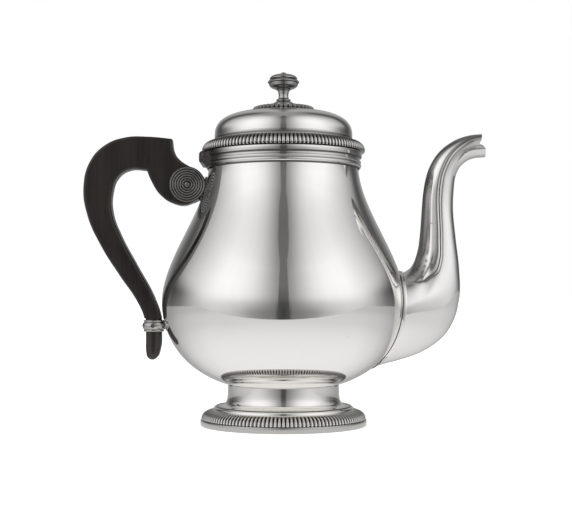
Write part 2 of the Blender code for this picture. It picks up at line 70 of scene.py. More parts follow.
def bezier(start, lead, follow, end, count):
    """Points along a cubic curve, both ends included."""
    t = np.linspace(0.0, 1.0, count + 1)[:, None]
    u = 1 - t
    corners = [np.asarray(p, float) for p in (start, lead, follow, end)]
    weights = (u**3, 3 * u * u * t, 3 * u * t * t, t**3)
    return [tuple(p) for p in sum(w * c for w, c in zip(weights, corners))]


def arc(centre, size, first, last, count):
    """Points of an elliptical arc between two angles in degrees."""
    turns = np.radians(np.linspace(first, last, count + 1))
    return [(centre[0] + size[0] * math.cos(a), centre[1] + size[1] * math.sin(a)) for a in turns]


def grown(outline, distance):
    """The outline moved outwards along its normals. It runs down its outer side."""
    points = np.asarray(outline, float)
    along = np.gradient(points, axis=0)
    along /= np.linalg.norm(along, axis=1)[:, None]
    moved = points + distance * np.stack([-along[:, 1], along[:, 0]], axis=1)
    moved[:, 0] = np.maximum(moved[:, 0], 0.0)
    return [tuple(p) for p in moved]


def smooth_rows(knots, values, at):
    """Values read at new places from a smooth curve through the knots."""
    knots, values = np.asarray(knots, float), np.asarray(values, float)
    slope = np.gradient(values, knots, axis=0)
    i = np.clip(np.searchsorted(knots, at, side="right") - 1, 0, len(knots) - 2)
    span = knots[i + 1] - knots[i]
    t = ((at - knots[i]) / span)[..., None]
    h = span[..., None]
    return (
        (2 * t**3 - 3 * t**2 + 1) * values[i]
        + (t**3 - 2 * t**2 + t) * h * slope[i]
        + (3 * t**2 - 2 * t**3) * values[i + 1]
        + (t**3 - t**2) * h * slope[i + 1]
    )


def ease(low, high, value):
    """0 below low, 1 above high, and a smooth step between."""
    t = np.clip((np.asarray(value, float) - low) / (high - low), 0.0, 1.0)
    return t * t * (3 - 2 * t)


def swell(share):
    """The height of a half-round rib across its width, where share runs from 0 to 1."""
    return np.sqrt(np.maximum(1 - (2 * share - 1) ** 2, 0.0))


def between(low, high, value, soft=0.1):
    """1 for values in a range, 0 outside it, with soft ends."""
    return ease(low - soft, low + soft, value) * (1 - ease(high - soft, high + soft, value))


def circle(count):
    """Angles round a full turn."""
    return np.linspace(0.0, 2 * math.pi, count, endpoint=False)


def ring_of_points(r, z, turns):
    """Points round the pot's axis. r and z are numbers or one value for each turn."""
    return np.stack([r * np.cos(turns), r * np.sin(turns), z + 0 * turns], axis=-1)


# ---- meshes


def new_object(name, data):
    """A new object in the scene."""
    obj = bpy.data.objects.new(name, data)
    bpy.context.scene.collection.objects.link(obj)
    return obj


def finished(name, shape, sharp=SHARP_ANGLE):
    """An object from a bmesh, with outward normals, smooth faces and sharp creases."""
    bmesh.ops.remove_doubles(shape, verts=shape.verts, dist=SAME_POINT)
    bmesh.ops.recalc_face_normals(shape, faces=shape.faces)
    mesh = bpy.data.meshes.new(name)
    shape.to_mesh(mesh)
    shape.free()
    mesh.shade_smooth()
    mesh.set_sharp_from_angle(angle=math.radians(sharp))
    return new_object(name, mesh)


def lattice(name, rows, around=True, ring=False, caps=False, tone=None, sharp=SHARP_ANGLE):
    """A skin over rows of points. around closes each row, and ring joins the last row to the first.

    caps fills the first and last columns of a ring that isn't closed around. tone is a shade for each point.
    """
    rows = np.asarray(rows, float)
    count, columns = rows.shape[:2]
    points = rows.reshape(-1, 3) * MM
    shape = bmesh.new()
    shade = shape.verts.layers.float.new("tone") if tone is not None else None
    verts = [shape.verts.new(p) for p in points]
    if shade is not None:
        for vert, value in zip(verts, np.asarray(tone, float).reshape(-1)):
            vert[shade] = value
    apart = np.linalg.norm(np.diff(rows, axis=1), axis=2).max(axis=1) > 1e-6
    for i in range(count if ring else count - 1):
        k = (i + 1) % count
        if not (apart[i] or apart[k]):
            continue
        for j in range(columns if around else columns - 1):
            m = (j + 1) % columns
            corners = [verts[i * columns + j], verts[i * columns + m]]
            corners += [verts[k * columns + m], verts[k * columns + j]]
            if not apart[i]:
                corners.pop(1)
            elif not apart[k]:
                corners.pop(2)
            shape.faces.new(corners)
    if caps:
        shape.faces.new([verts[i * columns] for i in range(count)])
        shape.faces.new([verts[i * columns + columns - 1] for i in range(count)])
    return finished(name, shape, sharp)


def lathe(name, profile, steps=160, ring=False, shade=None):
    """A turned piece from (radius, height) points. shade gives the tone at a radius and height: oxide and
    painted shade.
    """
    turns = circle(steps)
    profile = np.asarray(profile, float)
    r, z = profile[:, :1], profile[:, 1:]
    tone = None if shade is None else shade(r, z) + 0 * turns
    return lattice(name, ring_of_points(r, z, turns), ring=ring, tone=tone)


class RibbedRing:
    """Rows of points round the pot's axis, with the same count for each rib, and their tones of oxide and
    painted shade.
    """

    def __init__(self, ribs, per_rib=12):
        count = np.arange(ribs * per_rib)
        self.turns = count * 2 * math.pi / (ribs * per_rib)
        self.rib = swell((count % per_rib) / per_rib)
        self.rows = []
        self.tones = []

    def add(self, r, z, tone):
        self.rows.append(ring_of_points(r + 0 * self.turns, z, self.turns))
        self.tones.append(tone + 0 * self.turns)

    def piece(self, name):
        return lattice(name, self.rows, ring=True, tone=self.tones, sharp=50.0)


def box_tool(low, high):
    """A box between two corners."""
    shape = bmesh.new()
    bmesh.ops.create_cube(shape, size=1.0)
    size = [(b - a) * MM for a, b in zip(low, high)]
    middle = [(a + b) / 2 * MM for a, b in zip(low, high)]
    bmesh.ops.transform(shape, matrix=Matrix.Diagonal((*size, 1.0)), verts=shape.verts)
    bmesh.ops.translate(shape, vec=middle, verts=shape.verts)
    return finished("tool", shape)


def rod_tool(radius, places, start, end, axis, sides=32):
    """Rods along one axis, through the given points of the plane across it."""
    shape = bmesh.new()
    turn = Vector(axis).to_track_quat("Z", "Y").to_matrix().to_4x4()
    for place in places:
        middle = (Vector(place) + Vector(axis) * (start + end) / 2) * MM
        size = {"radius1": radius * MM, "radius2": radius * MM, "depth": (end - start) * MM}
        where = Matrix.Translation(middle) @ turn
        bmesh.ops.create_cone(shape, cap_ends=True, segments=sides, matrix=where, **size)
    return finished("tool", shape)


def carve(obj, operation, *tools):
    """Cuts the object with each tool or joins them, and removes the tools."""
    for tool in tools:
        modifier = obj.modifiers.new("carve", "BOOLEAN")
        modifier.operation = operation
        modifier.solver = "EXACT"
        modifier.object = tool
        apply_modifiers(obj)
        bpy.data.objects.remove(tool)
    obj.data.shade_smooth()
    obj.data.set_sharp_from_angle(angle=math.radians(SHARP_ANGLE))
    return obj


def apply_modifiers(obj):
    """Gives the object the mesh that its modifiers make."""
    graph = bpy.context.evaluated_depsgraph_get()
    graph.update()
    mesh = bpy.data.meshes.new_from_object(obj.evaluated_get(graph))
    obj.modifiers.clear()
    obj.data = mesh


def soften(obj, width):
    """Rounds the piece's sharp edges."""
    bevel = obj.modifiers.new("soften", "BEVEL")
    bevel.width = width * MM
    bevel.segments = 3
    bevel.limit_method = "ANGLE"
    bevel.angle_limit = math.radians(40.0)
    bevel.harden_normals = True
    apply_modifiers(obj)
    return obj


def plate(name, outline, half_thickness, edge_round, detail):
    """A flat piece with its outline in the XZ plane, its thickness along Y and its edges rounded.

    The outline lists (kind of corner, x, z), and detail is the count of points along each curved stretch.
    """
    curve = bpy.data.curves.new(name, "CURVE")
    curve.dimensions = "2D"
    curve.fill_mode = "BOTH"
    curve.extrude = (half_thickness - edge_round) * MM
    curve.bevel_depth = edge_round * MM
    curve.bevel_resolution = 3
    curve.offset = -edge_round * MM
    curve.resolution_u = detail
    spline = curve.splines.new("BEZIER")
    spline.bezier_points.add(len(outline) - 1)
    for knot, (kind, x, z) in zip(spline.bezier_points, outline):
        knot.co = (x * MM, z * MM, 0.0)
        knot.handle_left_type = kind
        knot.handle_right_type = kind
    spline.use_cyclic_u = True
    guide = new_object(name, curve)
    guide.rotation_euler = (math.pi / 2, 0.0, 0.0)
    graph = bpy.context.evaluated_depsgraph_get()
    mesh = bpy.data.meshes.new_from_object(guide.evaluated_get(graph))
    mesh.transform(guide.matrix_world)
    bpy.data.objects.remove(guide)
    shape = bmesh.new()
    shape.from_mesh(mesh)
    bmesh.ops.remove_doubles(shape, verts=shape.verts, dist=0.01 * MM)
    return finished(name, shape)


# ---- materials


def feed(tree, socket, value):
    """Links an output to the socket, or gives the socket a number, a vector or an RGB triple."""
    if isinstance(value, bpy.types.NodeSocket):
        tree.links.new(value, socket)
    else:
        socket.default_value = (*value, 1.0) if socket.type == "RGBA" else value


def node(tree, kind, **settings):
    """A new node. A setting feeds the socket of its name, or else it is a property."""
    made = tree.nodes.new(kind)
    for key, value in settings.items():
        if key in made.inputs:
            feed(tree, made.inputs[key], value)
        else:
            setattr(made, key, value)
    return made


def math_node(tree, operation, *values):
    """The result of a sum over numbers and sockets."""
    made = node(tree, "ShaderNodeMath", operation=operation)
    for socket, value in zip(made.inputs, values):
        feed(tree, socket, value)
    return made.outputs[0]


def blend_colour(tree, share, first, second):
    """A colour between two, each a socket or an RGB triple."""
    made = node(tree, "ShaderNodeMix", data_type="RGBA")
    for socket, value in zip((made.inputs[0], made.inputs[6], made.inputs[7]), (share, first, second)):
        feed(tree, socket, value)
    return made.outputs[2]


def ramp(tree, value, stops, interpolation="EASE"):
    """A grey ramp with (place, level) stops."""
    made = node(tree, "ShaderNodeValToRGB", Fac=value)
    made.color_ramp.interpolation = interpolation
    while len(made.color_ramp.elements) < len(stops):
        made.color_ramp.elements.new(0.5)
    for element, (place, level) in zip(made.color_ramp.elements, stops):
        element.position = place
        element.color = (level, level, level, 1.0)
    return made.outputs[0]


def noise(tree, coords, scale, detail=2.0, stretch=(1.0, 1.0, 1.0), turn=(0.0, 0.0, 0.0)):
    """Noise with features of about 1 / scale metres, finer along an axis with a larger stretch."""
    mapping = node(tree, "ShaderNodeMapping", Vector=coords, Scale=stretch, Rotation=turn)
    return node(tree, "ShaderNodeTexNoise", Vector=mapping.outputs[0], Scale=scale, Detail=detail).outputs[0]


def bump(tree, height, distance, before=None):
    """The surface's direction after a relief of the given depth, on top of an earlier one."""
    made = node(tree, "ShaderNodeBump", Distance=distance, Height=height)
    if before is not None:
        feed(tree, made.inputs["Normal"], before)
    return made.outputs[0]


def new_material(name):
    """A new material, its tree and the place on the object."""
    material = bpy.data.materials.new(name)
    material.use_nodes = True
    tree = material.node_tree
    return material, tree, node(tree, "ShaderNodeTexCoord").outputs["Object"]


def set_shader(tree, **inputs):
    """Feeds the sockets of the material's shader, named with _ for each space."""
    for name, value in inputs.items():
        feed(tree, tree.nodes["Principled BSDF"].inputs[name.replace("_", " ")], value)


def silver(name, tint, gloss, wave, patina_and_shade=0.0, scratch=1.0e-6, pitted=0.0):
    """Polished silver with faint waves, wiping scratches and tarnished specks.

    wave, scratch and pitted are depths in metres, and patina is how much the piece's tone darkens it. The
    tone marks oxide in hollows and painted shade.
    """
    material, tree, coords = new_material(name)
    cloud = noise(tree, coords, 38.0, 3.0)
    fine = noise(tree, coords, 420.0, stretch=(1.0, 1.0, 0.35))
    speck = ramp(tree, noise(tree, coords, 900.0, 1.0), [(0.74, 0.0), (0.8, 1.0)])
    worn = math_node(tree, "MULTIPLY", speck, 0.22)
    base = blend_colour(tree, cloud, tint, tuple(c * 0.965 for c in tint))
    base = blend_colour(tree, worn, base, SPECK_COLOUR)
    rough = math_node(tree, "MULTIPLY_ADD", fine, 0.05, gloss)
    if patina_and_shade:
        # Painted shade: the tone darkens the silver in grooves, creases and shaded sides, along with oxide in
        # the hollows.
        hollow = node(tree, "ShaderNodeAttribute", attribute_name="tone").outputs["Fac"]
        dull = math_node(tree, "MULTIPLY", hollow, patina_and_shade)
        base = blend_colour(tree, dull, base, PATINA_AND_SHADE_COLOUR)
        rough = math_node(tree, "ADD", rough, math_node(tree, "MULTIPLY", hollow, 0.22))
    swirl = noise(tree, coords, 260.0, 3.0, stretch=(9.0, 9.0, 0.6), turn=(0.5, 0.3, 0.4))
    wipe = noise(tree, coords, 300.0, 3.0, stretch=(0.5, 8.0, 9.0), turn=(0.2, 0.9, 0.1))
    normal = bump(tree, noise(tree, coords, 17.0, 1.0), wave)
    normal = bump(tree, swirl, scratch, normal)
    normal = bump(tree, wipe, scratch, normal)
    if pitted:
        normal = bump(tree, noise(tree, coords, 1100.0), pitted, normal)
    set_shader(tree, Base_Color=base, Roughness=rough, Metallic=1.0, Normal=normal)
    return material


def dark_wood(name):
    """Near-black turned hardwood with upright grain, open pores and a rubbed satin polish."""
    material, tree, coords = new_material(name)
    cloud = noise(tree, coords, 9.0)
    drift = node(tree, "ShaderNodeVectorMath", operation="SCALE", Scale=0.010, Vector=cloud)
    shifted = node(tree, "ShaderNodeVectorMath", operation="ADD", Vector=coords)
    feed(tree, shifted.inputs[1], drift.outputs[0])
    along = shifted.outputs[0]
    bands = noise(tree, along, 130.0, 4.0, stretch=(1.0, 1.0, 0.1))
    streaks = noise(tree, along, 620.0, 3.0, stretch=(1.0, 1.0, 0.045))
    pores = noise(tree, along, 1500.0, 1.0, stretch=(1.0, 1.0, 0.05))
    pores = ramp(tree, pores, [(0.6, 0.0), (0.72, 1.0)])
    base = blend_colour(tree, ramp(tree, bands, [(0.32, 0.0), (0.7, 1.0)]), WOOD_DARK, WOOD_LIGHT)
    streak_share = math_node(tree, "MULTIPLY", ramp(tree, streaks, [(0.42, 0.0), (0.68, 1.0)]), 0.35)
    base = blend_colour(tree, streak_share, base, WOOD_STREAK)
    base = blend_colour(tree, math_node(tree, "MULTIPLY", pores, 0.75), base, WOOD_PORE)
    rough = math_node(tree, "MULTIPLY_ADD", streaks, 0.1, 0.24)
    normal = bump(tree, bands, 3.0e-5)
    normal = bump(tree, streaks, 0.8e-5, normal)
    normal = bump(tree, pores, -0.8e-5, normal)
    set_shader(tree, Base_Color=base, Roughness=rough, Specular_IOR_Level=0.42, Normal=normal)
    set_shader(tree, Coat_Weight=0.3, Coat_Roughness=0.16)
    return material


# The second colour is what the tone darkens silver towards: oxide and painted shade.
SPECK_COLOUR, PATINA_AND_SHADE_COLOUR = (0.42, 0.38, 0.33), (0.055, 0.05, 0.046)
WOOD_DARK, WOOD_LIGHT = (0.014, 0.0105, 0.009), (0.026, 0.019, 0.0155)
WOOD_STREAK, WOOD_PORE = (0.040, 0.029, 0.023), (0.008, 0.007, 0.006)
BRIGHT, CAST, AGED_AND_SHADED = (0.93, 0.915, 0.895), (0.84, 0.825, 0.8), (0.52, 0.51, 0.49)
GREY, DARK_GREY = (0.3, 0.29, 0.275), (0.15, 0.14, 0.13)

POLISHED = silver("polished_silver", BRIGHT, 0.022, 6.0e-5)
LINED = silver("lined_silver", BRIGHT, 0.05, 4.0e-5, patina_and_shade=0.9)
CHASED = silver("chased_silver", CAST, 0.1, 2.0e-5, patina_and_shade=1.0)
# A darker copy of the silver for the finial and the collar: partly an old, less bright finish, and partly
# painted shade.
MELLOW_SHADED = silver("mellow_shaded_silver", AGED_AND_SHADED, 0.09, 3.0e-5, patina_and_shade=0.9)
FITTINGS = silver("silver_fittings", GREY, 0.26, 6.0e-5, patina_and_shade=0.9, scratch=2.5e-6, pitted=5.0e-5)
TARNISHED = silver("tarnished_silver", DARK_GREY, 0.2, 6.0e-5, scratch=2.5e-6, pitted=2.2e-4)
WOOD = dark_wood("dark_wood")
LOOKS = {SILVER: POLISHED, "chased_silver": CHASED, "silver_fittings": FITTINGS, "dark_wood": WOOD}


def placed(obj, body, slot, *nodes, look=None):
    """Puts a piece on its body and in its material slot, in place of its CAD nodes."""
    obj.data.materials.clear()
    obj.data.materials.append(look or LOOKS[slot])
    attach(obj, body)
    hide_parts(*nodes)
    return obj


# ---- body and foot


def body_outline(detail=1):
    """The body's outer line, from its rim down to the middle of its floor."""
    shoulder = bezier((NECK_R, NECK_Z), (43.2, 121.2), (BELLY_R, 94.5), (BELLY_R, BELLY_Z), 64 * detail)
    joint = (FOOT_JOINT_R, FOOT_JOINT_Z)
    bowl = bezier((BELLY_R, BELLY_Z), (BELLY_R, 55.2), (61.5, 32.2), joint, 48 * detail)
    floor = bezier(joint, (22.0, 20.2), (12.0, FLOOR_Z), (0.0, FLOOR_Z), 12)
    return [(NECK_R, RIM_Z - 0.6)] + shoulder + bowl[1:] + floor[1:]


# the body's side without its floor, from the bottom up
FINE_OUTLINE = np.asarray(body_outline(4))
OUTSIDE = FINE_OUTLINE[FINE_OUTLINE[:, 0] > 25.0][::-1]


def body_radius(z):
    """The body's outer radius at a height."""
    return np.interp(z, OUTSIDE[:, 1], OUTSIDE[:, 0])


def body_normal(points):
    """The body's outward direction next to each point."""
    z, reach = points[..., 2], 0.4
    slope = (body_radius(z + reach) - body_radius(z - reach)) / (2 * reach)
    flat = points[..., :2] / np.linalg.norm(points[..., :2], axis=-1, keepdims=True)
    normal = np.concatenate([flat, -slope[..., None]], axis=-1)
    return normal / np.linalg.norm(normal, axis=-1, keepdims=True)


def make_body():
    """The shell, with its rolled lip and a ring of strainer holes round a middle one behind the spout."""
    outer = body_outline()
    inner = grown(outer, -BODY_WALL)[::-1]
    middle = (NECK_R - BODY_WALL / 2, RIM_Z - 0.6)
    lip = arc(middle, (BODY_WALL / 2, 0.6), 180, 0, 8)
    body = lathe("body_shell_detail", lip[:-1] + outer + inner[:-1], steps=208, ring=True)
    hole_r, ring_r, middle_z = 2.5, 9.0, 61.0
    places = [(0.0, 0.0, middle_z)]
    for step in range(6):
        angle = math.radians(60 * step)
        places.append((0.0, ring_r * math.cos(angle), middle_z + ring_r * math.sin(angle)))
    carve(body, "DIFFERENCE", rod_tool(hole_r, places, 55.0, 75.0, (1, 0, 0), sides=24))
    placed(body, POT, SILVER, "body_shell")


def make_neck_moulding():
    """A flat band over a pair of reeds, open behind for the hinge."""
    side = HINGE_HALF + GAP
    profile = [(42.8, 153.9), (44.05, 153.9), (44.35, 153.75), (44.45, 153.4), (44.4, 152.2), (44.3, 151.3)]
    profile += arc((44.05, 151.3), (0.25, 0.35), 0, -90, 4)
    profile += [(43.4, 150.85), (43.28, 150.6), (43.25, 149.9), (43.3, 149.3)]
    profile += arc((43.25, 148.35), (0.72, 0.8), 90, -78, 10)
    profile += arc((43.25, 146.35), (0.78, 1.0), 78, -80, 10)
    profile += [(43.25, 145.25), (43.22, 144.9), (43.0, 144.55), (42.8, 144.5)]
    profile = np.asarray(profile)
    r, z = profile[:, :1], profile[:, 1:]
    open_half = np.arcsin(side / r)
    share = np.linspace(-1.0, 1.0, 169)
    turns = share * (math.pi - open_half)
    rows = ring_of_points(r, z, turns)
    # Painted shade: dark lines in the grooves above, between and below the reeds, with oxide there, a slight
    # darkening all over, and more towards the hinge.
    lines = (between(150.3, 151.15, z) + between(147.3, 147.6, z) + between(144.3, 145.3, z)).clip(0.0, 1.0)
    near_hinge = ease(2.20, 2.65, np.abs(turns))
    tone = np.minimum(0.85 * lines + 0.12 + 0.85 * near_hinge, 1.0)
    moulding = lattice("neck_moulding_detail", rows, around=False, ring=True, caps=True, tone=tone)
    placed(moulding, POT, SILVER, "neck_moulding", look=LINED)


def gadroons(name, top, size, foot_z, inner, crown, shadow=0.7):
    """A ring of half-round ribs that run over a quarter-round moulding of the given width and drop.

    crown is the plain fillet above the ribs, and shadow is the painted shade at their upper ends.
    """
    ring = RibbedRing(130)
    cut = 1 - ring.rib**1.3
    # Painted shade: valley darkens the grooves between the ribs, along with their oxide.
    valley = 3.0 * (1 - ring.rib**1.6)
    centre = (top[0], top[1] - size[1])
    # The inner face and the faces below the ribs are darkened evenly: painted shade.
    ring.add(inner, top[1] - 0.8, 0.5)
    for r, z in crown:
        ring.add(r, z, 0.0)
    first_angle, steps = math.radians(86), 14
    for step in range(steps + 1):
        down = step / steps
        angle = first_angle * (1 - down)
        fade = ease(-0.05, 0.1, down) * (1 - 0.35 * ease(0.9, 1.0, down))
        r = centre[0] + (size[0] - fade * cut) * math.cos(angle)
        z = centre[1] + (size[1] - fade * cut) * math.sin(angle)
        # Painted shade and light: the upper ends of the ribs are darkened, and lit eases the darkening
        # towards their lower ends.
        upper = shadow * (1 - ease(0.25, 0.8, down))
        lit = 1 - 0.45 * ease(0.45, 0.85, down)
        ring.add(r, z, np.minimum(fade * valley * lit + upper, 1.0))
    for down in (0.45, 0.8, 1.0):
        r = centre[0] + size[0] - 0.3 * down**2.2 - 0.65 * cut
        ring.add(r, centre[1] - (centre[1] - foot_z) * down, np.minimum(valley, 1.0))
    ring.add(top[0] + size[0] - 1.9, foot_z, 0.4)
    ring.add(inner, foot_z, 0.5)
    return ring.piece(name)


def make_foot():
    """The spool with its step, the gadrooned rim on it and the plain band below."""
    cove = bezier((31.5, 22.7), (31.6, 13.4), (31.9, 11.5), (37.4, 11.1), 40)
    step = [(37.75, 11.2), (38.2, 11.2), (38.35, 11.05), (38.35, 10.85)]
    step += arc((38.35, 9.3), (1.5, 1.4), 84, 10, 8)
    outer = cove + step + [(39.9, 9.2), (39.9, 3.5), (39.9, 0.6)]
    inner = [(38.9, 0.6), (38.9, 8.8), (38.2, 9.5), (36.6, 10.1)]
    inner += bezier((36.4, 10.15), (31.1, 10.6), (30.7, 13.4), (30.5, 22.6), 24)
    profile = outer + inner
    # Painted shade: the tone darkens the edge of the step under the gadrooned rim.
    pedestal = lathe("foot_pedestal_detail", profile, ring=True, shade=lambda r, z: between(38.25, 38.6, r))
    placed(pedestal, POT, SILVER, "foot_pedestal", look=LINED)

    crown = [(40.25, 8.55), (40.28, 8.95), (40.45, 9.1), (40.65, 9.0)]
    rim = gadroons("foot_gadroon_detail", (40.5, 8.7), (5.9, 4.5), 3.58, 40.2, crown=crown, shadow=0.2)
    placed(rim, POT, "chased_silver", "foot_gadroon_rim")

    band = arc((46.45, 3.0), (0.5, 0.5), 90, 0, 5) + [(46.98, 2.2), (46.98, 1.2)]
    band += arc((46.45, 0.5), (0.5, 0.5), 0, -90, 5) + [(42.4, 0.0), (42.0, 0.3), (42.0, 3.2), (42.3, 3.5)]
    # Painted shade: the tone darkens the whole band evenly.
    base = lathe("foot_base_detail", band, ring=True, shade=lambda r, z: 0.5 + 0 * z)
    placed(base, POT, SILVER, "foot_base_band", look=LINED)


# ---- lid


def dome_height(radius):
    """Height of the dome's outer face at a radius."""
    return DOME_SPRING_Z + DOME_RISE * (1 - (radius / DOME_R) ** DOME_POWER) ** (1 / DOME_POWER)


def dome_arc(inset, first, last, count):
    """The dome's side as (radius, height) points between two angles in degrees, at a depth in its wall."""
    points = []
    for angle in np.radians(np.linspace(first, last, count)):
        radius = (DOME_R - inset) * math.cos(angle) ** (2 / DOME_POWER)
        points.append((radius, DOME_SPRING_Z + (DOME_RISE - inset) * math.sin(angle) ** (2 / DOME_POWER)))
    return points


def make_dome():
    """The hollow dome with its foot groove, the gadrooned rim and the bezel that drops into the neck."""
    outer = [(r, dome_height(r)) for r in np.linspace(STUD_HOLE_R, 22.3, 26)] + dome_arc(0.0, 66, 1, 76)
    side = [(r - 0.12 * float(ease(167, 163, z)), z) for r, z in outer if z > 162.9]
    foot = [(38.98, 162.4), (38.94, 162.0), (38.96, 161.6), (39.06, 161.25), (39.3, 160.95), (39.3, 160.5)]
    outer = side + foot + [(39.2, 160.2), (39.2, LID_SEAT_Z)]
    inner = [(DOME_R - LID_WALL, LID_SEAT_Z), (DOME_R - LID_WALL, 160.0)] + dome_arc(LID_WALL, 2, 66, 40)
    inner += [(r, dome_height(r) - LID_WALL) for r in np.linspace(20.0, STUD_HOLE_R, 12)]

    # Painted shade: a dark ring in the foot groove and another round the rosette's edge.
    def shade(r, z):
        return 0.9 * between(160.9, 162.1, z, 0.25) + 0.8 * between(17.4, 18.6, r, 0.3) * (z > 170)

    dome = lathe("lid_dome_detail", outer + inner, steps=176, ring=True, shade=shade)
    placed(dome, LID, SILVER, "lid_dome", look=LINED)

    crown = [(39.55, 160.25), (39.6, 160.65), (39.8, 160.8), (40.15, 160.75), (40.3, 160.45)]
    rim = gadroons("lid_gadroon_detail", (40.3, 160.2), (5.8, 4.9), LID_SEAT_Z, 39.5, crown=crown)
    placed(rim, LID, "chased_silver", "lid_gadroon_rim")

    top = LID_SEAT_Z - GAP
    bezel = [(40.1, top), (40.1, 150.2)] + arc((39.8, 149.8), (0.3, 0.3), 0, -90, 4)
    bezel += arc((39.4, 149.8), (0.3, 0.3), -90, -180, 4) + [(39.1, top)]
    placed(lathe("lid_bezel_detail", bezel, ring=True), LID, SILVER, "lid_bezel")


def make_rosette():
    """A thick disc of rounded petals round a plain dished middle."""
    ring = RibbedRing(40)
    # Painted shade: the tone darkens the petals, most between them, on their turned-down edges and
    # underneath, and the middle little.
    valley = 1 - ring.rib
    dark = np.minimum(1.5 * valley, 1.0)
    for r, z, tone in ((STUD_HOLE_R, 180.6, 0.2), (7.6, 180.6, 0.2), (8.1, 180.5, 0.5), (8.8, 180.1, 0.8)):
        ring.add(r, z, tone)
    for t in np.linspace(0.0, 1.0, 11):
        crest = 180.3 - 0.35 * t * t
        ring.add(9.2 + 7.2 * t, crest - 0.75 * ease(0.0, 0.1, t) * valley, np.maximum(dark, 0.75))
    seat = dome_height(17.3) + GAP
    for step in range(1, 10):
        turn = math.radians(10 * step)
        droop = 1 - math.cos(turn)
        crest = 179.95 - 0.75 * valley
        r = 16.4 + (1.65 * ring.rib - 0.4) * math.sin(turn)
        ring.add(r, crest + (seat - crest) * droop, np.maximum(dark, 0.5 + 0.5 * droop))
    for r in (16.6, 13.0, 8.0, STUD_HOLE_R):
        ring.add(r, dome_height(r) + GAP + 0.05, 0.8)
    placed(ring.piece("finial_rosette_detail"), LID, "chased_silver", "finial_rosette")


def make_knop():
    """The finial's foot, stem and bowl, and the cap with its button."""
    knop = [(7.3, 195.9), (7.75, 195.85), (8.2, 195.45), (8.7, 194.8), (9.0, 194.45)]
    knop += arc((8.85, 194.28), (0.2, 0.17), 30, -90, 4) + [(8.5, 194.0), (8.3, 193.8)]
    knop += bezier((8.38, 193.6), (8.2, 191.8), (6.6, 190.65), (4.1, 190.45), 18)
    knop += [(3.75, 190.4)] + arc((3.7, 190.0), (0.28, 0.3), 80, -80, 6)
    knop += bezier((3.55, 189.65), (3.1, 189.0), (2.82, 188.0), (2.8, 186.9), 10)
    knop += bezier((2.8, 186.7), (2.8, 185.6), (2.95, 184.9), (3.55, 184.55), 10)
    knop += arc((3.75, 184.2), (0.35, 0.3), 80, -70, 6)
    knop += bezier((3.95, 183.9), (4.2, 183.3), (4.7, 182.9), (5.4, 182.6), 8)
    knop += bezier((5.5, 182.5), (6.2, 182.3), (6.6, 181.7), (6.6, 181.1), 8)
    knop += [(6.5, 180.9), (STUD_HOLE_R, 180.9), (STUD_HOLE_R, 190.2), (0.0, 190.2)]
    knop = [(0.0, 195.9)] + knop

    # Dark rings in the seams and grooves, oxide and painted shade, and painted shade over the lower bowl.
    def shade(r, z):
        seams = between(193.6, 194.1, z) + between(190.3, 190.5, z) + between(189.4, 189.7, z)
        rings = 0.9 * between(184.4, 184.7, z) + 0.7 * between(182.4, 182.7, z)
        return 0.9 * seams + rings + 0.45 * between(190.5, 192.6, z, 0.6)

    piece = lathe("finial_knop_detail", knop, steps=96, shade=shade)
    placed(piece, LID, SILVER, "finial_knop", look=MELLOW_SHADED)

    cap = bezier((0.0, 200.0), (1.1, 200.0), (1.62, 199.6), (1.62, 199.05), 10)
    cap += [(1.75, 198.9)] + bezier((1.95, 198.93), (5.0, 198.75), (7.3, 197.9), (7.85, 196.45), 20)
    cap += [(7.85, 196.25), (7.6, 196.2), (0.0, 196.2)]
    # Painted shade: the tone darkens the groove round the button.
    piece = lathe("finial_cap_detail", cap, steps=96, shade=lambda r, z: 0.9 * between(1.6, 2.0, r))
    placed(piece, LID, SILVER, "finial_cap", look=MELLOW_SHADED)


# ---- hinge


def neck_tool():
    """The body's neck with its gap, as a solid."""
    profile = [(0.0, 165.0), (NECK_R + GAP, 165.0)] + [(body_radius(z) + GAP, z) for z in range(150, 138, -1)]
    return lathe("tool", profile + [(0.0, 139.0)])


def hinge_bore():
    return rod_tool(HINGE_BORE_R, [(HINGE_X, 0.0, HINGE_Z)], -20.0, 20.0, (0, 1, 0))


